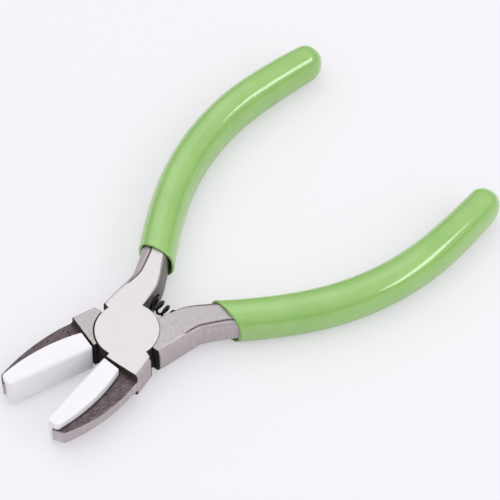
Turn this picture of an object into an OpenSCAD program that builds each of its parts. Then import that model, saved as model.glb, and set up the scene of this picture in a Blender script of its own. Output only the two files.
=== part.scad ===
// Nylon-jaw flat pliers with a sprung lap joint and dipped grips.
// Frame: the pivot axis is Z, the joint's underside is z = 0, and the jaws point along +Y.
// The two steel halves are the same forging, turned over about the jaws' centre line; only the
// front one's blade leans in from its shoulder.
// Each half is drawn about the joint's mid-plane with the jaws closed, then lifted and swung open.

/* [Pivot joint] */
// Thickness of the joint, across both halves
joint_t = 9; // [8:0.25:11]
// Radius of each half's round boss
boss_r = 7.8; // [7:0.1:8.6]
// Gap around a boss, in the other half's round recess
boss_gap = 0.15; // [0.1:0.01:0.3]
// Gap between the two flat lap faces
lap_gap = 0.04; // [0.02:0.01:0.1]
// Radius of the rivet's shank
rivet_r = 2; // [1.5:0.1:2.5]
// Radius of the rivet's peened heads, ground flush with the joint
rivet_head_r = 3; // [2.8:0.1:3.6]
// Clearance around the rivet in the half that turns on it
rivet_gap = 0.03; // [0.02:0.01:0.08]

/* [Opening] */
// Angle that the halves stand open with the spring relaxed
rest_angle = 28.8; // [20:0.2:32]

/* [Jaws] */
// Distance from the pivot to the jaw tips
jaw_len = 31.7; // [29:0.1:34]
// Distance from the pivot to the front of the shoulders, at the centre plane
shoulder_y = 9; // [8.8:0.1:9.4]
// How much further forward the shoulder's outer corner is
shoulder_lead = 0.7; // [0.4:0.1:0.8]
// Width of one shoulder, from the pad faces' plane
shoulder_w = 9.5; // [9:0.1:9.7]
// Thickness of the blade at the shoulder
blade_root_t = 3.4; // [3:0.1:4]
// Thickness of the blade at its tip
blade_tip_t = 4.4; // [3.8:0.1:5]
// Distance from the pad's face to the blade's outer corner at the tip
blade_tip_w = 4.6; // [4.2:0.1:5]
// Radius of the blade's curved back
blade_back_r = 40; // [36:1:60]
// How far the blade's outer corner lies behind its inner one
tip_slant = 0.9; // [0.5:0.1:1.2]
// Angle at which the front jaw's blade leans in from its shoulder
front_lean = 5.5; // [3:0.5:6]

/* [Pads] */
// Height of a pad, across its cheeks
pad_t = 9; // [8:0.1:9]
// Distance from the plane that the halves close on to the blade inside a pad
pad_wall = 1.8; // [1.5:0.1:2.2]
// How far a pad's face stands past the plane that the halves close on
pad_proud = 0.45; // [0.2:0.05:0.6]
// Distance from that plane to a pad's outer side at the shoulder
pad_root_w = 5; // [4.6:0.1:5.4]
// Distance from that plane to a pad's outer side at the tip
pad_tip_w = 3.3; // [2.9:0.1:3.6]
// Radius of a pad's curved outer side
pad_back_r = 46; // [40:1:60]
// Radius of the round nose of a pad's working wall
pad_nose_r = 1.5; // [1:0.1:1.7]
// Gap between a pad and the shoulder behind it
pad_end_gap = 0.5; // [0.3:0.05:0.7]

/* [Shanks] */
// Distance from the centre plane to a shank's inner side
shank_in = 0.8; // [0.6:0.1:1.2]
// Width of a shank at its waist, across the ground facet
waist_w = 6; // [5.4:0.1:6.4]
// Distance from the pivot to the knee where the shank turns outwards
knee_y = 17.4; // [16.5:0.1:18.5]
// How far the forged sides swell beyond the facet
side_swell = 1; // [0.6:0.1:1.2]
// Width of the ground facet on the tang
tang_facet_w = 4; // [3.4:0.1:4.6]
// Widest width of the tang
tang_w = 6.4; // [6:0.1:7]

/* [Handles] */
// Angle at which a tang leaves the knee
splay = 27.9; // [27:0.1:28.5]
// Radius of the upper sweep
upper_r = 135; // [130:1:145]
// Turn of the upper sweep
upper_turn = 10.2; // [9.6:0.1:10.6]
// Radius of the palm sweep
palm_r = 67.5; // [66:0.5:70]
// Turn of the palm sweep
palm_turn = 35; // [34:0.1:35.4]
// Radius of the flatter end sweep
end_r = 180; // [160:5:260]
// Turn of the flatter end sweep
end_turn = 5.2; // [4.8:0.1:5.4]

/* [Grips] */
// Width of a grip
grip_w = 9.3; // [8.8:0.1:9.8]
// Thickness of a grip
grip_t = 11; // [10.6:0.1:11.6]
// Distance from the pivot to the dip line, along Y with the jaws closed
dip_y = 23.1; // [22.6:0.1:24]
// How far the tang's end stops short of the grip's
tang_short = 1.2; // [0.8:0.1:2]

/* [Spring] */
// Distance from the pivot to the spring's axis
spring_y = 12; // [11.6:0.1:12.6]
// Mean radius of the coils
coil_r = 1.5; // [1.4:0.05:1.7]
// Radius of the wire
wire_r = 0.33; // [0.28:0.01:0.36]
// Distance between coils
coil_pitch = 1.87; // [1.6:0.01:2.1]
// Length of the spring at rest
spring_len = 13; // [12:0.1:13.2]
// Radial clearance around the spring in its sockets
socket_gap = 0.2; // [0.15:0.01:0.3]

/* [Hidden] */
$fn = 96;

swing = rest_angle / 2;
// Each facing part of the halves stops this far short of the centre plane
meet_gap = 0.03;
// Extra length that carries a cut past the surface it opens
through = 1;
// Facets in a full turn of the wide arcs
arc_facets = 360;
// Countersink depth that takes a head down to the shank at 45 degrees
head_t = rivet_head_r - rivet_r;

// How far ahead of the shoulder the arc of the blade's back starts, and how far back its root runs
blade_ahead = 3;
blade_behind = 2;
blade_root = [-shoulder_w, shoulder_y + blade_ahead];
blade_tip = [-blade_tip_w, jaw_len - tip_slant];
// The pad's outer side is an arc too; its two widths are taken this far inside its ends
pad_root_ahead = 4;
pad_tip_behind = 1.5;
pad_root = [-pad_root_w, shoulder_y + pad_root_ahead];
pad_tip = [-pad_tip_w, jaw_len - pad_tip_behind];
// Turn between the points of the pad's round nose
pad_nose_step = 15;
// Angle from the X axis at which the shoulder's side turns in to its stop face
side_turn = 22;

// Clearance of the pad's channel over the blade
pad_fit = 0.02;
// Distance from the jaw tip to the ends of the pads
pad_tip_back = 0.4;
// Clearance between the spring's ends and the bottoms of its sockets
socket_end_gap = 0.1;
// Sides of the wire's section, and sections in one coil
wire_sides = 8;
coil_steps = 16;
// Angle of the wire about the spring's axis, halfway along it
coil_phase = 160;
// Clearance of a grip's bore over the tang
tang_fit = 0.03;
// Share of its width that a grip loses at its end, and the share of its length where that starts
grip_taper = 0.1;
taper_start = 2 / 3;
// Exponent that squares the oval of a grip's section; 1 is a plain oval
grip_square = 0.86;
// Turn between the sections of a grip's rounded nose, and the turn of the last one
nose_step = 18;
nose_end = 86;
// Points around a grip, sections along it, and sections along a tang
grip_sides = 20;
grip_steps = 36;
tang_steps = 36;

// Faces that stop the opening, as angles from the X axis about the pivot
shoulder_stop = 19.5;
shank_stop = 21.6;
// Radius at which those faces leave the boss, a little inside its edge
stop_inset = 1;
stop_in_r = boss_r - stop_inset;

// How far a tang's centre line starts outside the middle of the shank
knee_shift = 0.15;
knee = [shank_in + waist_w / 2 + knee_shift, -knee_y];
// Distance ahead of the knee at which the inner side starts to turn outwards
knee_turn = 2.6;
// Reach of the neck's facet to either side of the knee
knee_in = 2.2;
knee_out = 2.9;
// Corners of the neck's facet where it widens towards the boss
neck_flare = 0.9;
neck_root = [shank_in + waist_w + neck_flare, -8.5];
neck_top = [8.6, -3.3];
// Angle below the X axis at which the neck's swollen band starts, beside the boss
band_start = 40;
// How far the inner side of the neck swells beyond the facet
in_swell = 0.5;
// The strip of neck that the knee's blend starts from: its place, length and inset
strip_start = 1;
strip_len = 3;
strip_inset = 0.3;
// Length of the tang over which the knee's blend runs
knee_blend = 2.8;
// Half height of the tang's widest band
tang_band = 2;
// Half height of the tang, inside the grip's top and bottom walls
tang_h = joint_t / 2;

// A handle's sweeps, each as its radius and its turn back towards the centre plane
sweeps = [[upper_r, upper_turn], [palm_r, palm_turn], [end_r, end_turn]];

// Length of a handle's centre line, from the knee to the centre of the rounded end
handle_len = sweep_len(0) + sweep_len(1) + sweep_len(2);

function polar(r, a) = [r * cos(a), r * sin(a)];
// Angle that a length takes up on an arc of radius r
function degrees(length, r) = length / r * 180 / PI;

// Place and heading after n sweeps, as [x, y, heading], with the heading measured outwards from -Y
function after(n) =
    n == 0 ? [knee[0], knee[1], splay]
    : let (p = after(n - 1), r = sweeps[n - 1][0], a = p[2], b = a - sweeps[n - 1][1])
        [p[0] + r * (cos(b) - cos(a)), p[1] + r * (sin(b) - sin(a)), b];

// Length of sweep n
function sweep_len(n) = sweeps[n][0] * sweeps[n][1] * PI / 180;
// Place and heading at a length s down the handle from the knee
function along(s, n = 0) =
    n < len(sweeps) - 1 && s > sweep_len(n) ? along(s - sweep_len(n), n + 1)
    : let (p = after(n), r = sweeps[n][0], b = p[2] - degrees(s, r))
        [p[0] + r * (cos(b) - cos(p[2])), p[1] + r * (sin(b) - sin(p[2])), b];

// Centre of the arc of radius r that runs from a to b, bulging to the left of that direction
function arc_centre(a, b, r) =
    let (e = b - a, d = sqrt(r * r - e * e / 4) / norm(e))
        (a + b) / 2 + d * [e[1], -e[0]];

// Joins rings of points, each with the same count, into one closed skin
module skin(rings) {
    count = len(rings[0]);
    last = (len(rings) - 1) * count;
    sides = [for (i = [0 : len(rings) - 2], k = [0 : count - 1])
        let (a = i * count, b = a + count, n = (k + 1) % count) [a + k, b + k, b + n, a + n]];
    polyhedron(points = [for (ring = rings) each ring],
               faces = concat([[for (k = [0 : count - 1]) k]], sides,
                              [[for (k = [count - 1 : -1 : 0]) last + k]]),
               convexity = 10);
}

module about_mid(height) {
    translate([0, 0, -height / 2]) linear_extrude(height) children();
}

// Lifts the joint's mid-plane so that the underside is z = 0
module lift() {
    translate([0, 0, joint_t / 2]) children();
}

// Swings a closed half out to its rest pose
module front_place() {
    lift() rotate([0, 0, swing]) children();
}

module back_place() {
    lift() rotate([0, 180, 0]) rotate([0, 0, swing]) children();
}

// Forged section of a tang: a ground facet above and below, and sides that swell between them
function tang_ring(s, grow) =
    let (p = along(s), f = tang_facet_w / 2 + grow, w = tang_w / 2 + grow, h = tang_h + grow)
        [for (q = [[-f, -h], [f, -h], [w, -tang_band], [w, tang_band],
                   [f, h], [-f, h], [-w, tang_band], [-w, -tang_band]])
            [p[0] + q[0] * cos(p[2]), p[1] + q[0] * sin(p[2]), q[1]]];

// The steel tang, which stops short of the end of the centre line by the given length
module tang(short, grow = 0) {
    reach = handle_len - short;
    skin([for (i = [0 : tang_steps]) tang_ring(reach * i / tang_steps, grow)]);
}

// Leans a blade, or the pad on it, in about its root
module leaned(angle) {
    translate([0, shoulder_y]) rotate(-angle) translate([0, -shoulder_y]) children();
}

module shoulder_outline() {
    polygon([[-meet_gap, 0], [-meet_gap, shoulder_y], [-shoulder_w, shoulder_y + shoulder_lead],
             polar(shoulder_w / cos(side_turn), 180 - side_turn), polar(stop_in_r, 180 - shoulder_stop),
             [-stop_in_r / 2, 0]]);
}

module blade_outline() {
    slope = tip_slant / (blade_tip_w - pad_wall);
    intersection() {
        translate(arc_centre(blade_root, blade_tip, blade_back_r)) circle(blade_back_r, $fn = arc_facets);
        polygon([[-shoulder_w, shoulder_y - blade_behind],
                 [-shoulder_w, jaw_len - slope * (shoulder_w - pad_wall)],
                 [-pad_wall, jaw_len], [-pad_wall, shoulder_y - blade_behind]]);
    }
}

// The blade, which thickens towards its tip, with the given clearance all round
module blade(fit = 0) {
    root = blade_root_t / 2 + fit;
    tip = blade_tip_t / 2 + fit;
    intersection() {
        about_mid(joint_t) offset(delta = fit) blade_outline();
        translate([-2 * shoulder_w, 0, 0]) rotate([90, 0, 90]) linear_extrude(2 * shoulder_w)
            polygon([[shoulder_y, -root], [jaw_len, -tip], [jaw_len + through, -tip],
                     [jaw_len + through, tip], [jaw_len, tip], [shoulder_y, root],
                     [shoulder_y - blade_behind, root], [shoulder_y - blade_behind, -root]]);
    }
}

module neck_outline() {
    polygon([[shank_in, -stop_in_r], [shank_in, knee_turn - knee_y], [knee[0] - knee_in, -knee_y],
             [knee[0] + knee_out, -knee_y], neck_root, neck_top, polar(stop_in_r, -shank_stop)]);
}

// Band of the neck's sides between the facets, a little wider than them
module neck_band() {
    polygon([[shank_in - in_swell, neck_root[1]], [shank_in - in_swell, knee_turn - knee_y],
             [knee[0] - tang_w / 2, -knee_y], [knee[0] + tang_w / 2 + in_swell, -knee_y],
             neck_root + [side_swell, 0], neck_top + [side_swell, -side_swell], polar(boss_r, -band_start)]);
}

// Low part of the neck, which a blend carries round the knee into the tang
module knee_strip(grow) {
    translate([shank_in + strip_inset - grow, strip_start - knee_y])
        square([waist_w - 2 * strip_inset + 2 * grow, strip_len]);
}

module half(lean) {
    difference() {
        union() {
            about_mid(joint_t) {
                shoulder_outline();
                neck_outline();
            }
            leaned(lean) blade();
            hull() {
                about_mid(joint_t) neck_outline();
                about_mid(2 * tang_band) neck_band();
            }
            hull() {
                about_mid(joint_t) knee_strip(0);
                about_mid(2 * tang_band) knee_strip(side_swell);
                skin([for (s = [0, knee_blend]) tang_ring(s, 0)]);
            }
            tang(tang_short);
            cylinder(r = boss_r, h = joint_t / 2);
        }
        // Recess for the other half's boss
        translate([0, 0, -joint_t / 2 - through])
            cylinder(r = boss_r + boss_gap, h = joint_t / 2 + through + lap_gap / 2);
    }
}

// A half with its spring socket and a rivet hole of radius r, countersunk for the head on its boss
module drilled_half(r, lean) {
    difference() {
        half(lean);
        translate([0, 0, -joint_t / 2 - through]) cylinder(r = r, h = joint_t + 2 * through);
        translate([0, 0, joint_t / 2 - head_t]) cylinder(r1 = r, r2 = r + head_t, h = head_t);
        translate([0, 0, joint_t / 2]) cylinder(r = r + head_t, h = through);
        rotate([0, 0, -swing]) translate([0, -spring_y, 0]) rotate([0, 90, 0])
            cylinder(r = coil_r + wire_r + socket_gap, h = spring_len / 2 + socket_end_gap);
    }
}

module front_half() {
    color("gainsboro") front_place() drilled_half(rivet_r + rivet_gap, front_lean);
}

module back_half() {
    color("silver") back_place() drilled_half(rivet_r, 0);
}

module pivot_rivet() {
    color("lightgrey") lift() {
        about_mid(joint_t) circle(rivet_r);
        for (side = [0, 180]) rotate([side, 0, 0])
            translate([0, 0, joint_t / 2 - head_t]) cylinder(r1 = rivet_r, r2 = rivet_head_r, h = head_t);
    }
}

// Centre of the wire at a fraction of the spring's length, along X
function coil_point(f) =
    let (x = (f - 0.5) * (spring_len - 2 * wire_r), turn = coil_phase + 360 * x / coil_pitch)
        [x, coil_r * cos(turn), coil_r * sin(turn)];

// Round section of the wire, in the plane of its centre and the spring's axis
function wire_ring(f) =
    let (p = coil_point(f))
        [for (k = [0 : wire_sides - 1])
            let (a = 360 * k / wire_sides, s = (coil_r + wire_r * cos(a)) / coil_r)
                [p[0] + wire_r * sin(a), p[1] * s, p[2] * s]];

module return_spring() {
    steps = round(coil_steps * (spring_len - 2 * wire_r) / coil_pitch);
    color("dimgray") lift() translate([0, -spring_y, 0])
        skin([for (i = [0 : steps]) wire_ring(i / steps)]);
}

module pad_outline() {
    back = shoulder_y + pad_end_gap;
    end = jaw_len - pad_tip_back;
    side = pad_root_w + through;
    intersection() {
        translate(arc_centre(pad_root, pad_tip, pad_back_r)) circle(pad_back_r, $fn = arc_facets);
        polygon(concat(
            [[pad_proud, back], [-side, back + side * shoulder_lead / shoulder_w], [-side, end]],
            [for (a = [90 : -pad_nose_step : 0])
                [pad_proud + pad_nose_r * (cos(a) - 1), end + pad_nose_r * (sin(a) - 1)]]));
    }
}

// A pad: a channel pressed over the blade, with a working wall and two cheeks that straddle it
module pad() {
    difference() {
        about_mid(pad_t) pad_outline();
        blade(pad_fit);
    }
}

module front_pad() {
    color("white") front_place() leaned(front_lean) pad();
}

module back_pad() {
    color("white") back_place() pad();
}

// Half width of a grip at a length s from the knee: it narrows over its last third
function grip_half(s) =
    grip_w / 2 * (1 - grip_taper * pow(max(0, (s / handle_len - taper_start) / (1 - taper_start)), 2));

// Section of a grip: a squarish oval, shrunk towards the tip over the length of the rounded nose
function grip_ring(s) =
    let (p = along(s), w = grip_half(s), nose = grip_half(handle_len),
         k = max(0, s - handle_len) / nose, round_off = sqrt(max(0, 1 - k * k)))
        [for (i = [0 : grip_sides - 1])
            let (a = 360 * i / grip_sides, c = cos(a), d = sin(a),
                 x = sign(c) * pow(abs(c), grip_square) * w * round_off,
                 z = sign(d) * pow(abs(d), grip_square) * w * grip_t / grip_w * round_off)
                [p[0] + x * cos(p[2]), p[1] + x * sin(p[2]), z]];

// A grip: a dipped sleeve with the tang's own shape inside it, open at the dip line
module grip() {
    nose = grip_half(handle_len);
    shaft = [for (i = [0 : grip_steps]) grip_ring(handle_len * i / grip_steps)];
    tip = [for (a = [nose_step : nose_step : 90 - nose_step]) grip_ring(handle_len + nose * sin(a))];
    difference() {
        skin(concat(shaft, tip, [grip_ring(handle_len + nose * sin(nose_end))]));
        tang(tang_short - tang_fit, tang_fit);
        translate([-knee_y, -dip_y, -grip_t]) cube([4 * knee_y, 2 * knee_y, 2 * grip_t]);
    }
}

module front_grip() {
    color("yellowgreen") front_place() grip();
}

module back_grip() {
    color("yellowgreen") back_place() grip();
}

front_half();
back_half();
pivot_rivet();
return_spring();
front_pad();
back_pad();
front_grip();
back_grip();
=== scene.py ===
"""Looks for a pair of nylon-jaw flat pliers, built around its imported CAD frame."""
import math
from collections import namedtuple
from functools import partial

import bpy
import numpy as np
from mathutils import Matrix, Vector


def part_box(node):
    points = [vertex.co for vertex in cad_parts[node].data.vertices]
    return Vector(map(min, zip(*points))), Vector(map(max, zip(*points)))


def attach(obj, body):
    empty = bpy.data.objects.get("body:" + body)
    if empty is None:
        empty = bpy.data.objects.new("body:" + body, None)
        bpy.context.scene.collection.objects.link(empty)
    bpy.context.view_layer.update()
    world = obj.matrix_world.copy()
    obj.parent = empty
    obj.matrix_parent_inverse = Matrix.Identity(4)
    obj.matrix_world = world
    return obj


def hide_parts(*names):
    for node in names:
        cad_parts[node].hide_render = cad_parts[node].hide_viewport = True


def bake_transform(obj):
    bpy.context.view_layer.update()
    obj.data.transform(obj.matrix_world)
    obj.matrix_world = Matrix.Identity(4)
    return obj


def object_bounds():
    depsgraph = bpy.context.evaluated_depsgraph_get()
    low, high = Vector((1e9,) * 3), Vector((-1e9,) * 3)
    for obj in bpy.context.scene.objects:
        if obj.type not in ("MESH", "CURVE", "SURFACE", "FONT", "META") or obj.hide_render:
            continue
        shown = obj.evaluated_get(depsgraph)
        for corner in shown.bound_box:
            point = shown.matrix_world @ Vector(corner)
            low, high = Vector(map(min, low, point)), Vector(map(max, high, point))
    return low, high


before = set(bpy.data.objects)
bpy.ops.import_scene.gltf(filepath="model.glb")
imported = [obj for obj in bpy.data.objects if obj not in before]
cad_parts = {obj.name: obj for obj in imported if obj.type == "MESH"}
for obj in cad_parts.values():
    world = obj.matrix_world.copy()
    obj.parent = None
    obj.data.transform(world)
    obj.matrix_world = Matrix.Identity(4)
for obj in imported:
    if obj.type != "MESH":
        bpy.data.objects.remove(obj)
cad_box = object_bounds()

MM = 0.001

# Sizes in millimetres. A half is drawn with its jaws closed, about the joint's mid-plane,
# with its jaw at x < 0 and its handle at x > 0. The pivot is the origin and the jaws point along +Y.
# Half the thickness of the joint, and how far each half swings out to its rest pose
HALF_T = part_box("pivot_rivet")[1].z / MM / 2
REST_SWING = math.radians(14.4)
# The round boss of each half turns in a recess of the other
BOSS_R = 7.8
RECESS_GAP = 0.15
# The recess sits a little forward of the boss, as the rivet lets the joint settle
RECESS_SHIFT = (-0.07, 0.12)
LAP_GAP = 0.02
RIVET_R = 2.0
RIVET_HEAD_R = 3.0
RIVET_FIT = 0.02
# The head is ground over the hole's edge, so that no ring shows
HOLE_R = 2.7
HEAD_PROUD = 0.004
# Each half stops this far short of the plane that the jaws close on
MEET_GAP = 0.03

# The shoulder's front face, how much further forward its outer corner is, and the bevel on its outer edges
SHOULDER_Y = 9.0
SHOULDER_LEAD = 0.7
BEVEL_W = 0.6
BEVEL_SLOPE = math.radians(60)
# Faces that stop the opening, as angles from the X axis, and the radius at which they leave the boss
SHOULDER_STOP = math.radians(19.5)
SHANK_STOP = math.radians(21.6)
STOP_IN_R = BOSS_R - 1
# Angle at which the shoulder's side turns in to its stop face
SIDE_TURN = math.radians(22)

# The blade's top slopes down from the pad's foot to the blade's outer edge
BLADE_HALF_T = 2.25
BLADE_FALL = 0.14
BLADE_FALL_START = 4.2
# Where the arc of the blade's back starts, and how far back the tip's outer corner lies
BLADE_TURN_Y = 12.5
TIP_SLANT = 0.9
# The milled pocket's inner corner, and the corner between the shoulder's side and the blade's back
POCKET_FILLET = 0.9
SIDE_FILLET = 2.5
SIDE_FILLET_X = -5

# Distance from the closing plane to the blade inside a pad, and how far past that plane the pad's face stands
PAD_WALL = 1.75
PAD_PROUD = 0.45
PAD_W = 5.0
PAD_TIP_W = 3.6
PAD_BACK_R = 46.0
PAD_NOSE_R = 1.5
PAD_BACK_GAP = 0.5
PAD_FIT = 0.03
# The pad's working edge is rounder on the side that faces up
PAD_EDGE_R = 1.1

# The halves are finished by hand, so they differ a little
Half = namedtuple("Half", [
    "up",  # which of its sides, 1 or -1 along Z, faces up
    "trim",  # how far the shank's facet is ground away, against the usual
    "dip_slope",  # how far the dip line slopes across the grip
    "lean",  # how far the blade leans in from its shoulder
    "length",  # from the pivot to the jaw's tip
    "width",  # of the shoulder
    "back_r",  # radius of the blade's back
    "tip_width",  # of the blade's tip, from the closing plane
    "pad_end",  # from the pivot to the pad's tip
])
FRONT_HALF = Half(up=1, trim=1.0, dip_slope=0.4, lean=math.radians(5.5), length=31.4, width=9.3,
                  back_r=38.0, tip_width=4.7, pad_end=30.9)
BACK_HALF = Half(up=-1, trim=-0.3, dip_slope=-1.0, lean=0.0, length=32.3, width=9.9,
                 back_r=50.0, tip_width=4.4, pad_end=31.7)

# The shank's spine runs straight back from the joint, bends outwards at the knee and then follows
# the handle's arcs, each given as its radius and its turn
SPINE_X = 3.02
KNEE = (3.95, -17.4)
KNEE_R = 8.0
SPLAY = math.radians(27.9)
ARCS = [(135.0, math.radians(10.2)), (67.5, math.radians(35.0)), (180.0, math.radians(5.2))]
HANDLE_LEN = sum(r * sweep for r, sweep in ARCS)
# The shank's sides are widest within this height of the mid-plane
BAND_HALF_T = 2.0
# Step from the ground facet down to the forged surface outside it
STEP_DROP = 0.3
# How far the tang stops short of the grip's end
TANG_SHORT = 1.2

GRIP_W = 9.3
GRIP_T = 11.0
# The grip's mouth, along Y with the jaws closed
DIP_Y = 23.1
# Share of its width that the grip loses at its end, and the share of its length where that starts
GRIP_TAPER = 0.1
TAPER_START = 2 / 3
# Exponents that square the ovals of the grip's outside and bore; 1 is a plain oval
GRIP_SQUARE = 0.86
BORE_SQUARE = 0.52
BORE_HALF_W = 3.75
BORE_CLEAR = 0.34
# How much the bore closes on the tang, out of sight
BORE_TIGHT = 0.3
# Radii of the mouth's outer and inner edges
LIP_R = 0.5
INNER_LIP_R = 0.2
# The mouth is square to the tool, and sections turn square to the handle by this length from the knee
SETTLE = 16.0

SPRING_Y = 12.0
COIL_R = 1.5
WIRE_R = 0.33
COIL_PITCH = 1.87
COIL_PHASE = math.radians(160)
COIL_STEPS = 28
SPRING_LEN = 13.0
SOCKET_R = COIL_R + WIRE_R + 0.2
SOCKET_DEPTH = 6.6

# Grid steps and extents of the halves' meshes. Behind COARSE_Y a half is a plain tang inside its grip
GRID = 0.21
COARSE_GRID = 0.9
COARSE_Y = -29.0
HALF_X = (-BACK_HALF.width, 44.0)
HALF_Y = (-100.0, BACK_HALF.length + 0.5)
HALF_ROOM = 0.31
# The same for the pads' meshes
PAD_GRID = 0.16
PAD_X = (-5.6, 2.8)
PAD_Y = (8.9, 32.1)
PAD_ROOM = 0.26

# The finishes, and the masks of painted shade, that a steel mesh has as attributes of its points
FINISHES = ("ground", "pocket", "dark", "crease", "inner_shade")


# ---------------------------------------------------------------- distance fields, negative inside

def polygon(x, y, points):
    """Distance to a closed outline."""
    nearest = np.full(np.broadcast(x, y).shape, 1e9)
    sign = np.ones_like(nearest)
    for (ax, ay), (bx, by) in zip(points, points[1:] + points[:1]):
        ex, ey, wx, wy = bx - ax, by - ay, x - ax, y - ay
        t = np.clip((wx * ex + wy * ey) / (ex * ex + ey * ey), 0, 1)
        nearest = np.minimum(nearest, (wx - ex * t) ** 2 + (wy - ey * t) ** 2)
        above, below, left = y >= ay, y < by, ex * wy > ey * wx
        flip = (above & below & left) | ~(above | below | left)
        sign = np.where(flip, -sign, sign)
    return sign * np.sqrt(nearest)


def both(a, b, r):
    """Intersection whose outer edge is rounded to radius r."""
    return np.minimum(np.maximum(a, b) + r, 0) + np.hypot(np.maximum(a + r, 0), np.maximum(b + r, 0)) - r


def either(a, b, r):
    """Union whose inner corner is filled to radius r."""
    return np.maximum(np.minimum(a, b), r) - np.hypot(np.maximum(r - a, 0), np.maximum(r - b, 0))


def ramp(x, lo, hi):
    """Smooth rise from 0 at lo to 1 at hi."""
    t = np.clip((x - lo) / (hi - lo), 0, 1)
    return t * t * (3 - 2 * t)


def along(s, *knots):
    """A line through (place, value) knots, smoothed over 1 mm to either side."""
    places, values = zip(*knots)
    shifts = (-1, -0.5, 0, 0.5, 1)
    return sum(np.interp(s + shift, places, values) for shift in shifts) / len(shifts)


# ---------------------------------------------------------------- shape of one half

def leaned(x, y, lean):
    """Coordinates in a blade's own frame, which leans about the shoulder's inner corner."""
    c, d, up = math.cos(lean), math.sin(lean), y - SHOULDER_Y
    return x * c - up * d, x * d + up * c + SHOULDER_Y


def disc(x, y, start, end, r):
    """Inside of the circle whose edge runs from start up to end, bulging outwards."""
    ex, ey = end[0] - start[0], end[1] - start[1]
    d = math.sqrt(r * r / (ex * ex + ey * ey) - 0.25)
    return np.hypot(x - (start[0] + end[0]) / 2 - d * ey, y - (start[1] + end[1]) / 2 + d * ex) - r


def shoulder_plan(x, y, shape):
    """Outline of a shoulder and of the face that stops its opening."""
    w = shape.width
    return polygon(x, y, [(-MEET_GAP, 0), (-MEET_GAP, SHOULDER_Y), (-w, SHOULDER_Y + SHOULDER_LEAD),
                          (-w, w * math.tan(SIDE_TURN)),
                          (-STOP_IN_R * math.cos(SHOULDER_STOP), STOP_IN_R * math.sin(SHOULDER_STOP)),
                          (-STOP_IN_R / 2, 0)])


def blade_plan(u, v, shape):
    """Outline of a blade, in its own frame."""
    tip_corner = (-shape.tip_width, shape.length - TIP_SLANT)
    side = disc(u, v, (-shape.width, BLADE_TURN_Y), tip_corner, shape.back_r)
    slant = math.atan2(TIP_SLANT, shape.tip_width - PAD_WALL)
    tip = (v - shape.length) * math.cos(slant) - (u + PAD_WALL) * math.sin(slant)
    outer = both(np.maximum(side, -u - shape.width), tip, 0.3)
    return np.maximum(outer, np.maximum(u + PAD_WALL, SHOULDER_Y - 1 - v))


def blade_height(u, z):
    """Distance to the blade's sloping top and bottom."""
    return np.abs(z) - BLADE_HALF_T + BLADE_FALL * np.clip(-u - BLADE_FALL_START, 0, 6)


def jaw(x, y, z, shape):
    """Shoulder and blade. The pocket beside the pad is milled with a rounded cutter."""
    u, v = leaned(x, y, shape.lean)
    front = y - SHOULDER_Y + x * SHOULDER_LEAD / shape.width
    thick = either(front, blade_height(u, z), POCKET_FILLET)
    thick = both(thick, np.abs(z) - HALF_T, 0.1)
    shoulder, blade = shoulder_plan(x, y, shape), blade_plan(u, v, shape)
    plan = np.where(x < SIDE_FILLET_X, either(shoulder, blade, SIDE_FILLET), np.minimum(shoulder, blade))
    plan = np.maximum(plan, -x - shape.width)
    bevel = (BEVEL_W - x - shape.width) * math.sin(BEVEL_SLOPE) + (np.abs(z) - HALF_T) * math.cos(BEVEL_SLOPE)
    return both(both(plan, thick, 0.15), bevel, 0.12)


def spine(x, y):
    """Place along a shank's spine, and offset from it away from the centre plane."""
    s, u = -y + 0 * x, x - SPINE_X + 0 * y
    start = -KNEE[1] - KNEE_R * math.sin(SPLAY)
    cx, cy = SPINE_X + KNEE_R, -start
    turn = np.arctan2(cy - y, cx - x)
    after = s > start
    s = np.where(after, start + KNEE_R * turn, s)
    u = np.where(after, KNEE_R - np.hypot(x - cx, y - cy), u)
    place, heading, done = KNEE, SPLAY, start + KNEE_R * SPLAY
    for r, sweep in ARCS:
        cx, cy = place[0] - r * math.cos(heading), place[1] - r * math.sin(heading)
        turn = heading - np.arctan2(y - cy, x - cx)
        after = s > done if place is KNEE else after & (s > done)
        s = np.where(after, done + r * turn, s)
        u = np.where(after, np.hypot(x - cx, y - cy) - r, u)
        done += r * sweep
        heading -= sweep
        place = (cx + r * math.cos(heading), cy + r * math.sin(heading))
    return s, u


def trimmed(s, shape):
    """How much narrower one half's facet was ground than the usual."""
    return shape.trim * along(s, (8, 0), (12.5, 0.3), (16, 0.5), (19.7, 0.7), (24, 0.95), (34, 0.95))


def facet_out(s, shape):
    """Width of the facet on the outer side of the spine."""
    usual = along(s, (0, 5.5), (4, 5.3), (9, 4.65), (12.5, 4.05), (16, 3.7), (19.7, 2.7), (24, 1.85),
                  (32, 2.0))
    return usual - trimmed(s, shape)


def facet_in(s):
    """Width of the facet on the inner side of the spine."""
    return along(s, (0, 2.35), (9, 2.25), (13.7, 2.15), (16, 1.72), (22, 1.97), (32, 2.0))


def side(u, z, facet, swell, height):
    """Distance to one side of the shank: a flat facet whose edge rolls over into a swollen side."""
    across = np.maximum(u - facet, 0) / swell
    up = np.maximum(np.abs(z) - BAND_HALF_T, 0) / (height - BAND_HALF_T)
    reach = np.hypot(across, up) + 1e-6
    slope = np.sqrt((across / swell) ** 2 + (up / (height - BAND_HALF_T)) ** 2) / reach + 0.05
    return (reach - 1) / slope


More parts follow.
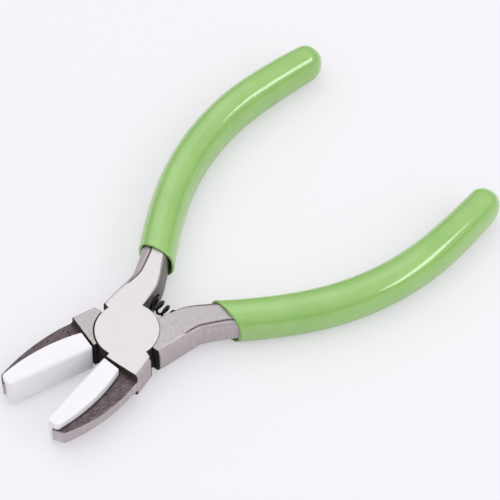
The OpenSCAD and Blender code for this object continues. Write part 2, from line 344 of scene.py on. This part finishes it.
def shank(x, y, z, shape):
    """Shank and tang: a ground facet above and below, and sides that swell between them."""
    s, u = spine(x, y)
    out, inn = facet_out(s, shape), facet_in(s)
    swell_out = along(s, (0, 0.9), (10, 1.1), (17, 1.6), (24, 1.8), (34, 1.3)) + trimmed(s, shape)
    swell_in = along(s, (0, 0.25), (12, 0.4), (18, 1.0), (25, 1.3), (34, 1.3))
    drop = STEP_DROP * ramp(s, 10.5, 13)
    # The underside is left rounder than the side that was ground for show
    under = np.where(z * shape.up < 0, ramp(s, 12, 20), 0)
    top = np.abs(z) - HALF_T
    rolled = np.maximum(side(u, z, out, swell_out, HALF_T - drop - under),
                        side(-u, z, inn, swell_in, HALF_T - 0.02))
    rolled = np.maximum(rolled, top + drop * (u > 0))
    facet = both(np.maximum(u - out, -u - inn), top, 0.12)
    body = np.minimum(rolled, facet)
    length = HANDLE_LEN - KNEE[1] + KNEE_R * (SPLAY - math.sin(SPLAY))
    end = s - length + TANG_SHORT
    stop = x * math.sin(SHANK_STOP) + y * math.cos(SHANK_STOP)
    return both(both(body, stop, 0.15), end, 0.5)


def socket_place(x, y, z):
    """Place across the tool at rest, and distance from the spring's axis, from closed coordinates."""
    c, d = math.cos(REST_SWING), math.sin(REST_SWING)
    return x * c - y * d, np.hypot(x * d + y * c + SPRING_Y, z)


def half(x, y, z, shape):
    """One steel half, with its recess, rivet hole and spring socket."""
    reach = np.hypot(x, y)
    boss = both(reach - BOSS_R, np.abs(z - (HALF_T + LAP_GAP) / 2) - (HALF_T - LAP_GAP) / 2, 0.05)
    body = np.minimum(np.minimum(boss, jaw(x, y, z, shape)), shank(x, y, z, shape))
    recess = np.hypot(x - RECESS_SHIFT[0], y - RECESS_SHIFT[1]) - BOSS_R - RECESS_GAP
    body = both(body, -np.maximum(recess, z - LAP_GAP), 0.05)
    hole = np.minimum(reach - RIVET_R - RIVET_FIT, (reach - HOLE_R + HALF_T - z) * math.sqrt(0.5))
    body = np.maximum(body, -hole)
    across, off_axis = socket_place(x, y, z)
    socket = np.maximum(off_axis - SOCKET_R, across - SOCKET_DEPTH)
    return both(body, -np.maximum(socket, -across), 0.1)


# ---------------------------------------------------------------- pads

def pad(x, y, z, shape):
    """A block with a curved outer side and a round nose, and the blade's channel in it."""
    u, v = leaned(x, y, shape.lean)
    side = disc(u, v, (-PAD_W, SHOULDER_Y + 4), (-PAD_TIP_W, shape.pad_end - 2), PAD_BACK_R)
    inner = u - PAD_PROUD
    plan = both(inner, v - shape.pad_end, PAD_NOSE_R)
    plan = both(plan, side, 0.7)
    plan = both(plan, SHOULDER_Y + PAD_BACK_GAP - v - u * SHOULDER_LEAD / shape.width, 0.35)
    top = np.abs(z) - HALF_T
    block = np.maximum(both(plan, top, 0.3), both(inner, shape.up * z - HALF_T, PAD_EDGE_R))
    channel = np.maximum(blade_plan(u, v, shape), blade_height(u, z)) - PAD_FIT
    return both(block, -channel, 0.05)


# ---------------------------------------------------------------- meshes

def net(field, xs, ys, zs):
    """Quad mesh of the surface where field is zero, with its points moved onto the true surface."""
    axes = (xs, ys, zs)
    values = field(xs[:, None, None], ys[None, :, None], zs[None, None, :])
    inside = values < 0
    corners = [(i, j, k) for i in (0, 1) for j in (0, 1) for k in (0, 1)]
    size = [n - 1 for n in values.shape]

    def corner(array, at):
        return array[tuple(slice(o, o + n) for o, n in zip(at, size))]

    total = sum(corner(inside, at).astype(np.int8) for at in corners)
    cells = np.argwhere((total > 0) & (total < 8))
    index = np.full(size, -1, dtype=np.int64)
    index[tuple(cells.T)] = np.arange(len(cells))
    points, hits = np.zeros((len(cells), 3)), np.zeros(len(cells))
    for at in corners:
        for axis in range(3):
            if at[axis]:
                continue
            a = cells + np.array(at)
            b = a.copy()
            b[:, axis] += 1
            va, vb = values[tuple(a.T)], values[tuple(b.T)]
            cut = (va < 0) != (vb < 0)
            t = np.where(cut, va / np.where(cut, va - vb, 1), 0)
            pa = np.stack([axes[n][a[:, n]] for n in range(3)], 1)
            pb = np.stack([axes[n][b[:, n]] for n in range(3)], 1)
            points += np.where(cut[:, None], pa + (pb - pa) * t[:, None], 0)
            hits += cut
    points /= hits[:, None]
    for _ in range(3):
        points -= step_to(field, points)
    faces = []
    for axis in range(3):
        u, v = (axis + 1) % 3, (axis + 2) % 3
        here = [slice(1, -1)] * 3
        here[axis] = slice(0, -1)
        there = list(here)
        there[axis] = slice(1, None)
        a, b = inside[tuple(here)], inside[tuple(there)]
        edges = np.argwhere(a != b)
        start = edges.copy()
        start[:, u] += 1
        start[:, v] += 1
        leaving = a[tuple(edges.T)]
        ring = []
        for du, dv in ((-1, -1), (0, -1), (0, 0), (-1, 0)):
            cell = start.copy()
            cell[:, u] += du
            cell[:, v] += dv
            ring.append(index[tuple(cell.T)])
        quad = np.stack(ring, 1)
        quad[~leaving] = quad[~leaving][:, ::-1]
        faces.append(quad)
    return points, np.concatenate(faces)


def slope_of(field, p):
    """Gradient of a field at points."""
    e = 0.01
    x, y, z = p.T
    return np.stack([field(x + e, y, z) - field(x - e, y, z),
                     field(x, y + e, z) - field(x, y - e, z),
                     field(x, y, z + e) - field(x, y, z - e)], 1) / (2 * e)


def step_to(field, p):
    """Offset of points from the surface, along its slope, kept to a third of a grid step."""
    g = slope_of(field, p)
    size = np.maximum((g * g).sum(1), 0.1)
    move = field(*p.T)[:, None] * g / size[:, None]
    return np.clip(move, -GRID / 3, GRID / 3)


def tube(rings, tip=None):
    """Points and faces of a skin over rings of points, closed by a fan at each end."""
    count = len(rings[0])
    last = (len(rings) - 1) * count
    start, end = last + count, last + count + 1
    tip = rings[-1].mean(0) if tip is None else tip
    points = np.concatenate([*rings, [rings[0].mean(0), tip]])
    faces = []
    for k in range(count):
        n = (k + 1) % count
        faces += [(i + k, i + n, i + count + n, i + count + k) for i in range(0, last, count)]
        faces += [(n, k, start), (last + k, last + n, end)]
    return points, faces


LIFT = Matrix.Translation((0, 0, HALF_T * MM))
FRONT = LIFT @ Matrix.Rotation(REST_SWING, 4, "Z") @ Matrix.Scale(MM, 4)
BACK = LIFT @ Matrix.Rotation(math.pi, 4, "Y") @ Matrix.Rotation(REST_SWING, 4, "Z") @ Matrix.Scale(MM, 4)


def piece(name, points, faces, place, material, attributes=None):
    """A smooth mesh object, placed from a half's own millimetres into the frame."""
    mesh = bpy.data.meshes.new(name)
    m = np.array(place)
    spots = np.asarray(points) @ m[:3, :3].T + m[:3, 3]
    mesh.from_pydata([tuple(p) for p in spots], [], [tuple(int(i) for i in f) for f in faces])
    at = mesh.attributes.new("at", "FLOAT_VECTOR", "POINT")
    at.data.foreach_set("vector", np.asarray(points, dtype=np.float32).ravel())
    for key, value in (attributes or {}).items():
        attribute = mesh.attributes.new(key, "FLOAT", "POINT")
        attribute.data.foreach_set("value", np.asarray(value, dtype=np.float32))
    mesh.polygons.foreach_set("use_smooth", [True] * len(mesh.polygons))
    mesh.materials.append(material)
    mesh.update()
    obj = bpy.data.objects.new(name, mesh)
    bpy.context.scene.collection.objects.link(obj)
    return obj


def on_both(part, finish, material, build):
    """Makes one part of each half. Build gives its points, faces and attributes from the half's shape."""
    for side, place, shape in (("front", FRONT, FRONT_HALF), ("back", BACK, BACK_HALF)):
        points, faces, attributes = build(shape)
        obj = piece(f"{side}_{part}_{finish}", points, faces, place, material, attributes)
        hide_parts(f"{side}_{part}")
        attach(obj, f"{side}_body")


def samples(lo, hi, step):
    """Even places from lo to hi, about a step apart."""
    return np.linspace(lo, hi, int(round((hi - lo) / step)) + 1)


def height_samples(room, step):
    """Across the thickness of the joint, with some room on each side."""
    return samples(-HALF_T - room, HALF_T + room, step)


# ---------------------------------------------------------------- materials

class Nodes:
    """Builds a material's node tree in a few words per node."""

    def __init__(self, name):
        self.material = bpy.data.materials.new(name)
        self.material.use_nodes = True
        self.tree = self.material.node_tree
        self.surface = self.tree.nodes["Principled BSDF"]

    def add(self, kind, **settings):
        node = self.tree.nodes.new(kind)
        inputs = settings.pop("inputs", {})
        for key, value in settings.items():
            setattr(node, key, value)
        for key, value in inputs.items():
            self.put(node.inputs[key], value)
        return node

    def put(self, socket, value):
        if isinstance(value, bpy.types.NodeSocket):
            self.tree.links.new(value, socket)
        else:
            socket.default_value = value

    def attribute(self, name):
        node = self.add("ShaderNodeAttribute", attribute_name=name)
        return node.outputs["Vector"] if name == "at" else node.outputs["Fac"]

    def math(self, operation, a, b):
        node = self.add("ShaderNodeMath", operation=operation)
        self.put(node.inputs[0], a)
        self.put(node.inputs[1], b)
        return node.outputs[0]

    def mix(self, fac, a, b):
        node = self.add("ShaderNodeMix", data_type="RGBA")
        self.put(node.inputs["Factor"], fac)
        self.put(node.inputs["A"], a)
        self.put(node.inputs["B"], b)
        return node.outputs["Result"]

    def level(self, fac, a, b):
        """Mix of two numbers, as mix is of two colours."""
        node = self.add("ShaderNodeMix", data_type="FLOAT")
        self.put(node.inputs["Factor"], fac)
        self.put(node.inputs["A"], a)
        self.put(node.inputs["B"], b)
        return node.outputs["Result"]

    def stretch(self, vector, scale, turn=0.0):
        """Coordinates turned about Z and then scaled."""
        turned = self.add("ShaderNodeMapping", inputs={"Vector": vector, "Rotation": (0.0, 0.0, turn)})
        node = self.add("ShaderNodeMapping", inputs={"Vector": turned.outputs["Vector"], "Scale": scale})
        return node.outputs["Vector"]

    def noise(self, vector, scale, detail=3.0, rough=0.55):
        node = self.add("ShaderNodeTexNoise",
                        inputs={"Vector": vector, "Scale": scale, "Detail": detail, "Roughness": rough})
        return node.outputs["Fac"]

    def spread(self, value, lo, hi):
        """Stretches the range from lo to hi over 0 to 1."""
        node = self.add("ShaderNodeMapRange", clamp=True,
                        inputs={"Value": value, "From Min": lo, "From Max": hi})
        return node.outputs["Result"]

    def bump(self, height, strength, distance):
        node = self.add("ShaderNodeBump",
                        inputs={"Height": height, "Strength": strength, "Distance": distance})
        self.put(self.surface.inputs["Normal"], node.outputs["Normal"])

    def set(self, **inputs):
        """Sets the surface's inputs, named with _ for a space, and returns the material."""
        for key, value in inputs.items():
            self.put(self.surface.inputs[key.replace("_", " ")], value)
        return self.material


def grey(v, red=0.0, blue=0.0):
    """A grey with a little more red and blue than green."""
    return (v * (1 + red), v, v * (1 + blue), 1)


def steel():
    """Ground tool steel: bright flat facets, grey forged sides and a dark milled pocket, with painted shade
    in its crevices and recesses.
    """
    n = Nodes("tool_steel")
    at = n.attribute("at")
    ground, pocket, dark, crease, inner_shade = (n.attribute(finish) for finish in FINISHES)
    high = n.add("ShaderNodeSeparateXYZ", inputs={"Vector": at}).outputs["Z"]
    boss_side = n.spread(high, -0.5, 0.5)
    # Patterns, in millimetres
    streaks = n.noise(n.stretch(at, (3.2, 3.2, 0.18)), 1.0, 4.0)
    blotches = n.noise(at, 0.35, 3.0)
    grain = n.noise(at, 2.6, 4.0, 0.7)
    lines = n.noise(n.stretch(at, (0.25, 5.0, 1.0)), 1.0, 3.0)
    mill = n.noise(n.stretch(at, (4.0, 0.6, 1.0), 0.6), 1.0, 4.0, 0.75)
    pits = n.noise(at, 1.6, 4.0, 0.7)
    scratches = n.noise(n.stretch(at, (5.0, 0.16, 1.0), -0.9), 1.0, 2.0)
    rust = n.noise(at, 0.9, 3.0, 0.6)
    # Forged and filed sides, with painted shade on the shanks' inner sides, which face each other
    side = n.mix(n.spread(streaks, 0.3, 0.7), grey(0.40, 0.1, 0.03), grey(0.60, 0.09, 0.02))
    side = n.mix(n.spread(blotches, 0.4, 0.7), side, grey(0.46, 0.14, 0.05))
    shaded_side = n.mix(n.spread(streaks, 0.3, 0.7), grey(0.13, 0.1, -0.1), grey(0.27, 0.08, -0.08))
    side = n.mix(inner_shade, side, shaded_side)
    # Ground flats, brighter on the side with the boss
    bright = n.mix(n.spread(lines, 0.35, 0.65), grey(0.68, 0.045, -0.02), grey(0.73, 0.04, -0.02))
    satin = n.mix(n.spread(grain, 0.35, 0.65), grey(0.41, 0.08, -0.02), grey(0.55, 0.07, -0.02))
    top = n.mix(boss_side, satin, bright)
    top = n.mix(n.math("MULTIPLY", n.spread(pits, 0.6, 0.72), 0.35), top, grey(0.42, 0.1))
    top = n.mix(n.math("MULTIPLY", n.spread(scratches, 0.66, 0.72), 0.3), top, grey(0.46, 0.08))
    # Milled pocket, with a little rust
    rough = n.mix(n.spread(mill, 0.36, 0.66), (0.040, 0.029, 0.032, 1), (0.26, 0.205, 0.215, 1))
    rough = n.mix(n.math("MULTIPLY", n.spread(rust, 0.58, 0.72), 0.6), rough, (0.20, 0.10, 0.065, 1))
    colour = n.mix(ground, side, top)
    colour = n.mix(pocket, colour, rough)
    colour = n.mix(crease, colour, (0.10, 0.085, 0.09, 1))
    # Painted shade, near black, in the crevices and recesses that the dark mask marks
    colour = n.mix(dark, colour, (0.022, 0.016, 0.014, 1))
    roughness = n.level(ground, n.level(streaks, 0.36, 0.58), n.level(lines, 0.46, 0.6))
    # The milled pocket and the painted shade are rougher and less metallic
    milled_and_shaded = n.math("MAXIMUM", pocket, dark)
    roughness = n.level(milled_and_shaded, roughness, 0.75)
    metal = n.level(milled_and_shaded, 0.85, 0.3)
    relief = n.level(ground, streaks, n.math("MULTIPLY", lines, 0.4))
    relief = n.math("ADD", relief, n.math("MULTIPLY", n.math("MULTIPLY", mill, pocket), 3.0))
    n.bump(relief, 0.25, 0.04 * MM)
    return n.set(Base_Color=colour, Roughness=roughness, Metallic=metal)


def nylon():
    n = Nodes("white_nylon")
    at = n.attribute("at")
    cloud = n.noise(at, 0.5, 3.0)
    fine = n.noise(at, 9.0, 3.0, 0.6)
    colour = n.mix(cloud, (0.86, 0.845, 0.875, 1), (0.91, 0.90, 0.92, 1))
    n.bump(fine, 0.15, 0.03 * MM)
    return n.set(Base_Color=colour, Roughness=n.level(fine, 0.38, 0.5), Subsurface_Weight=0.25,
                 Subsurface_Radius=(1.2, 1.1, 1.2), Subsurface_Scale=MM)


def vinyl():
    n = Nodes("dipped_vinyl")
    at = n.attribute("at")
    cloud = n.noise(at, 0.12, 3.0)
    fine = n.noise(at, 2.2, 4.0, 0.6)
    colour = n.mix(n.spread(cloud, 0.35, 0.65), (0.240, 0.495, 0.080, 1), (0.275, 0.535, 0.102, 1))
    n.bump(fine, 0.12, 0.12 * MM)
    return n.set(Base_Color=colour, Roughness=n.level(fine, 0.3, 0.42), Subsurface_Weight=0.12,
                 Subsurface_Radius=(1.0, 1.4, 0.6), Subsurface_Scale=MM, Coat_Weight=1.0,
                 Coat_Roughness=0.08, Coat_IOR=1.8)


def spring_wire():
    n = Nodes("black_spring_wire")
    at = n.attribute("at")
    fine = n.noise(at, 5.0, 4.0)
    colour = n.mix(fine, (0.010, 0.010, 0.011, 1), (0.045, 0.043, 0.045, 1))
    n.bump(fine, 0.1, 0.03 * MM)
    return n.set(Base_Color=colour, Roughness=n.level(fine, 0.28, 0.5), Metallic=0.6)


# ---------------------------------------------------------------- steel halves

def pocket_finish(x, y, z, slope, shape):
    """The milled pocket beside the pad, and the painted shade in its corners."""
    below_top = ramp(-np.abs(z), -HALF_T + 0.02, -HALF_T + 0.25)
    u, v = leaned(x, y, shape.lean)
    front = y - SHOULDER_Y + x * SHOULDER_LEAD / shape.width
    ahead = ramp(front, -0.15, 0.0)
    inner = ramp(-np.minimum(blade_plan(u, v, shape), shoulder_plan(x, y, shape)), 0.02, 0.12)
    shoulder_face = (slope[:, 1] > 0.5) & (front < 1)
    pocket = ahead * ramp(-x, -1, 0) * np.maximum(inner, shoulder_face) * below_top
    # Painted shade along the foot of the pad, under the shoulder, on the shoulder's wall and heel, and in the
    # throat between the jaws
    foot = ramp(-pad(x, y, z, shape), -0.7, -0.1) * pocket
    under = ramp(-front, -1.5, -0.1) * pocket
    wall = ahead * ramp(-front, -0.5, -0.2) * below_top * ramp(np.abs(z), 1.6, 2.2) * inner
    heel = ramp(front, -0.2, -0.05) * ramp(-front, -0.6, -0.1) * ramp(x, -3.0, -1.2) * below_top
    throat = ramp(slope[:, 0], 0.5, 0.8) * ramp(x, -0.4, -0.1) * (y > 2) * ramp(-front, -0.2, 0) * below_top
    return pocket, np.maximum.reduce([0.85 * foot, 0.8 * under, 0.8 * wall, heel, throat])


def joint_shade(x, y, z):
    """Painted shade in the gap round the boss, on the faces that stop the opening and in the spring's socket.
    """
    below_top = ramp(-np.abs(z), -HALF_T + 0.02, -HALF_T + 0.25)
    joint = ramp(-np.hypot(x, y), -BOSS_R - 0.6, -BOSS_R - 0.25) * below_top
    off_shank = np.abs(x * math.sin(SHANK_STOP) + y * math.cos(SHANK_STOP))
    off_shoulder = np.abs(x * math.sin(SHOULDER_STOP) + y * math.cos(SHOULDER_STOP) - 0.2)
    shank_stop = ramp(-off_shank, -0.25, -0.1) * (x > 0)
    shoulder_stop = ramp(-off_shoulder, -0.9, -0.5) * (x < 0) * (y < 4)
    stops = np.maximum(shank_stop, shoulder_stop) * below_top
    across, off_axis = socket_place(x, y, z)
    bore = ramp(-np.abs(off_axis - SOCKET_R), -0.3, -0.12)
    socket = np.maximum(bore, ramp(-off_axis, -2.0, -1.8)) * (y < 0) * (across < SOCKET_DEPTH + 0.2)
    return np.maximum.reduce([joint, stops, socket * (np.abs(z) < 2.6)])


def half_finish(points, shape):
    """How much of each finish a point on a half has. The ramps' bounds are in millimetres."""
    x, y, z = points.T
    slope = slope_of(partial(half, shape=shape), points)
    slope /= np.linalg.norm(slope, axis=1)[:, None] + 1e-9
    height = np.abs(z)
    below_top = ramp(-height, -HALF_T + 0.02, -HALF_T + 0.25)
    ground = ramp(np.abs(slope[:, 2]), 0.9, 0.97) * ramp(height, HALF_T - 0.2, HALF_T - 0.05)
    pocket, pocket_shade = pocket_finish(x, y, z, slope, shape)
    s, u = spine(x, y)
    # Painted shade on the shanks' inner sides, which face each other
    inner_shade = ramp(-u - facet_in(s), 0.0, 0.25) * (y < 0) * (np.hypot(x, y) > BOSS_R - 1) * below_top
    # A dark line follows the step outside the shank's facet
    edge = u - facet_out(s, shape)
    crease = ramp(edge, -0.02, 0.08) * ramp(-edge, -0.6, -0.3) * ramp(s, 10.3, 12.5) * (y < 0)
    crease = crease * ramp(height, HALF_T - 1.0, HALF_T - 0.6) * (1 - ground)
    # Painted shade in the pocket's corners and round the joint
    dark = np.maximum(pocket_shade, joint_shade(x, y, z))
    return dict(zip(FINISHES, (ground, pocket, dark, crease, inner_shade)))


def half_mesh(shape):
    ys = np.concatenate([samples(HALF_Y[0], COARSE_Y, COARSE_GRID)[:-1], samples(COARSE_Y, HALF_Y[1], GRID)])
    points, faces = net(partial(half, shape=shape), samples(*HALF_X, GRID), ys,
                        height_samples(HALF_ROOM, GRID))
    return points, faces, half_finish(points, shape)


def pad_mesh(shape):
    points, faces = net(partial(pad, shape=shape), samples(*PAD_X, PAD_GRID), samples(*PAD_Y, PAD_GRID),
                        height_samples(PAD_ROOM, PAD_GRID))
    return points, faces, {}


# ---------------------------------------------------------------- grips

def handle(s):
    """Place and heading of the handle's centre line at lengths s from the knee."""
    s = np.asarray(s, dtype=float)
    x, y, heading = np.full_like(s, KNEE[0]), np.full_like(s, KNEE[1]), np.full_like(s, SPLAY)
    left = s.copy()
    for n, (r, sweep) in enumerate(ARCS):
        go = left if n == len(ARCS) - 1 else np.minimum(left, r * sweep)
        turned = heading - go / r
        x += r * (np.cos(turned) - np.cos(heading))
        y += r * (np.sin(turned) - np.sin(heading))
        heading = turned
        left = left - go
    return x, y, heading


def oval(a, square):
    """A unit oval, squared by an exponent."""
    c, d = np.cos(a), np.sin(a)
    return np.sign(c) * np.abs(c) ** square, np.sign(d) * np.abs(d) ** square


def ring(s, a, half_w, half_t, square, shrink=1.0):
    """Points of a section; s may differ from point to point."""
    x, y, heading = handle(s)
    across, up = oval(a, square)
    across, up = across * half_w * shrink, up * half_t * shrink
    return np.stack([x + across * np.cos(heading), y + across * np.sin(heading), up], 1)


def grip_half(s):
    """Half width of a grip at a length s from the knee: it narrows towards its end."""
    beyond = max(0, (s / HANDLE_LEN - TAPER_START) / (1 - TAPER_START))
    return GRIP_W / 2 * (1 - GRIP_TAPER * beyond ** 2)


def mouth(a, half_w, half_t, square, dip_slope):
    """Length from the knee at which each line of a sleeve meets the dip line."""
    s = np.full_like(a, 4.0)
    for _ in range(12):
        p = ring(s, a, half_w, half_t, square)
        s += (DIP_Y - dip_slope * np.cos(a) + p[:, 1]) / math.cos(SPLAY)
    return s


def bore_rings(a, dip_slope):
    """From the bore's hidden end out to the mouth's rounded inner edge."""
    w, t = BORE_HALF_W, HALF_T + BORE_CLEAR
    start = mouth(a, w, t, BORE_SQUARE, dip_slope)
    for depth in (7.0, 5.0, 3.0, 1.6, 0.8):
        tight = BORE_TIGHT * ramp(depth, 0, 3)
        yield ring(start + depth, a, w - tight, t - tight, BORE_SQUARE)
    for f in np.linspace(0, math.pi / 2, 5):
        grow = INNER_LIP_R * (1 - math.cos(f))
        yield ring(start + INNER_LIP_R * (1 - math.sin(f)), a, w + grow, t + grow, BORE_SQUARE)


def sleeve_rings(a, dip_slope):
    """From the mouth's rolled lip along the handle to its round end."""
    w, t = GRIP_W / 2, GRIP_T / 2
    start = mouth(a, w, t, GRIP_SQUARE, dip_slope)
    for f in np.linspace(math.pi / 2, 0, 8):
        inset = LIP_R * (1 - math.cos(f))
        yield ring(start + LIP_R * (1 - math.sin(f)), a, w - inset, t - inset, GRIP_SQUARE)
    start = start + LIP_R
    for f in np.linspace(0, 1, 22)[1:]:
        yield ring(start + (SETTLE - start) * f ** 1.3, a, w, t, GRIP_SQUARE)
    nose = grip_half(HANDLE_LEN)
    shaft = [(s, 1) for s in np.linspace(SETTLE, HANDLE_LEN, 110)[1:]]
    end = [(HANDLE_LEN + nose * math.sin(f), math.cos(f)) for f in np.linspace(0, math.pi / 2, 18)[1:-1]]
    for s, shrink in shaft + end:
        h = grip_half(s)
        yield ring(np.full_like(a, s), a, h, h * GRIP_T / GRIP_W, GRIP_SQUARE, shrink)


def grip_mesh(shape):
    a = np.linspace(0, 2 * math.pi, 96, endpoint=False)
    x, y, _ = handle(HANDLE_LEN + grip_half(HANDLE_LEN))
    points, faces = tube([*bore_rings(a, shape.dip_slope), *sleeve_rings(a, shape.dip_slope)], (x, y, 0))
    return points, faces, {}


# ---------------------------------------------------------------- spring and rivet

def coil_ring(x, sides=12):
    """Section of the wire at a place along the spring's axis, measured from its middle."""
    angle = COIL_PHASE + 2 * math.pi * x / COIL_PITCH
    b = np.linspace(0, 2 * math.pi, sides, endpoint=False)
    r = COIL_R + WIRE_R * np.cos(b)
    return np.stack([x - WIRE_R * np.sin(b), r * math.cos(angle) - SPRING_Y, r * math.sin(angle)], 1)


def spring():
    """The spring at rest, between the bottoms of its sockets."""
    reach = SPRING_LEN / 2 - WIRE_R
    steps = int(2 * reach / COIL_PITCH * COIL_STEPS)
    points, faces = tube([coil_ring(x) for x in np.linspace(-reach, reach, steps + 1)])
    obj = piece("return_spring_wire", points, faces, LIFT @ Matrix.Scale(MM, 4), spring_wire())
    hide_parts("return_spring")
    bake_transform(obj)


def rivet(material):
    """The peened rivet, whose ends are ground with the bosses and take the same finish."""
    # Radius and height above the mid-plane, from there to the head's rim
    profile = [(RIVET_R, HALF_T - RIVET_HEAD_R + RIVET_R), (RIVET_HEAD_R, HALF_T + HEAD_PROUD)]
    a = np.linspace(0, 2 * math.pi, 96, endpoint=False)
    rings = [np.stack([r * np.cos(a), r * np.sin(a), np.full_like(a, z)], 1)
             for r, z in [(r, -z) for r, z in reversed(profile)] + profile]
    points, faces = tube(rings)
    finish = dict.fromkeys(FINISHES, np.zeros(len(points)))
    finish["ground"] = (np.abs(points[:, 2]) > HALF_T - 0.05).astype(float)
    obj = piece("pivot_rivet_steel", points, faces, FRONT, material, finish)
    obj.data.polygons.foreach_set("use_smooth", [False] * len(obj.data.polygons))
    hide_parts("pivot_rivet")
    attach(obj, "back_body")


# ---------------------------------------------------------------- floor, light and camera

def stage():
    """A sheet of pale paper."""
    n = Nodes("floor_paper")
    where = n.add("ShaderNodeTexCoord").outputs["Object"]
    cloud = n.noise(where, 6.0, 2.0)
    colour = n.mix(cloud, (0.87, 0.86, 0.875, 1), (0.89, 0.88, 0.895, 1))
    # To the camera the sheet glows like a light table's, which keeps the shadows faint
    seen = n.add("ShaderNodeLightPath").outputs["Is Camera Ray"]
    colour = n.mix(seen, colour, (0.50, 0.495, 0.505, 1))
    paper = n.set(Base_Color=colour, Roughness=0.9, Specular_IOR_Level=0.1,
                  Emission_Color=(0.985, 0.97, 1.0, 1), Emission_Strength=n.level(seen, 0.0, 0.40))
    mesh = bpy.data.meshes.new("floor")
    size = 3.0
    corners = [(-size, -size, 0), (size, -size, 0), (size, size, 0), (-size, size, 0)]
    mesh.from_pydata(corners, [], [(0, 1, 2, 3)])
    mesh.materials.append(paper)
    floor = bpy.data.objects.new("floor", mesh)
    # The tool balances on its grips, which are thicker than the joint
    floor.location = (0, 0, cad_box[0].z - 0.02 * MM)
    bpy.context.scene.collection.objects.link(floor)


def from_side(azimuth, elevation):
    """Unit vector towards a viewer or a lamp; azimuth 0 looks along +Y."""
    a, e = math.radians(azimuth), math.radians(elevation)
    return Vector((math.sin(a) * math.cos(e), -math.cos(a) * math.cos(e), math.sin(e)))


def light(name, azimuth, elevation, distance, width, height, power, roll=0.0):
    """A rectangular lamp that faces the tool. Angles are in degrees, and sizes in metres."""
    target = Vector((0, -30, 0)) * MM
    back = from_side(azimuth, elevation)
    data = bpy.data.lights.new(name, "AREA")
    data.shape, data.size, data.size_y, data.energy = "RECTANGLE", width, height, power
    lamp = bpy.data.objects.new(name, data)
    lamp.matrix_world = (Matrix.Translation(target + back * distance)
                         @ back.to_track_quat("Z", "Y").to_matrix().to_4x4()
                         @ Matrix.Rotation(math.radians(roll), 4, "Z"))
    bpy.context.scene.collection.objects.link(lamp)


def lights():
    """A white tent, brightest overhead, a soft key, and a narrow strip that puts a line on the grips."""
    world = bpy.data.worlds.new("studio")
    world.use_nodes = True
    tree = world.node_tree
    tent = tree.nodes["Background"]
    tent.inputs["Color"].default_value = (0.97, 0.965, 1.0, 1)
    where = tree.nodes.new("ShaderNodeTexCoord")
    split = tree.nodes.new("ShaderNodeSeparateXYZ")
    fall = tree.nodes.new("ShaderNodeMapRange")
    tree.links.new(where.outputs["Generated"], split.inputs["Vector"])
    tree.links.new(split.outputs["Z"], fall.inputs["Value"])
    fall.inputs["To Min"].default_value, fall.inputs["To Max"].default_value = 0.35, 1.15
    tree.links.new(fall.outputs["Result"], tent.inputs["Strength"])
    bpy.context.scene.world = world
    light("key", 90, 60, 1.2, 1.3, 1.3, 2.4)
    light("strip", 298, 37, 0.9, 0.75, 0.16, 1.5, 36)


def camera():
    """The photograph's viewing angle, from beyond the jaws. The field of view is that of a long lens."""
    azimuth, roll = math.radians(225.46), math.radians(0.864)
    right = Vector((math.cos(azimuth), math.sin(azimuth), 0))
    back = from_side(225.46, 54.845)
    up = back.cross(right)
    x = right * math.cos(roll) + up * math.sin(roll)
    y = up * math.cos(roll) - right * math.sin(roll)
    data = bpy.data.cameras.new("camera")
    data.sensor_width = 36.0
    data.lens = 190.6992
    data.clip_start, data.clip_end = 0.01, 20
    cam = bpy.data.objects.new("camera", data)
    place = Matrix((x, y, back)).transposed().to_4x4()
    place.translation = Vector((-267.36, 222.50, 534.70)) * MM
    cam.matrix_world = place
    bpy.context.scene.collection.objects.link(cam)
    bpy.context.scene.camera = cam


metal = steel()
on_both("half", "steel", metal, half_mesh)
on_both("pad", "nylon", nylon(), pad_mesh)
on_both("grip", "vinyl", vinyl(), grip_mesh)
spring()
rivet(metal)
stage()
lights()
camera()
bpy.context.scene.view_settings.view_transform = "Standard"
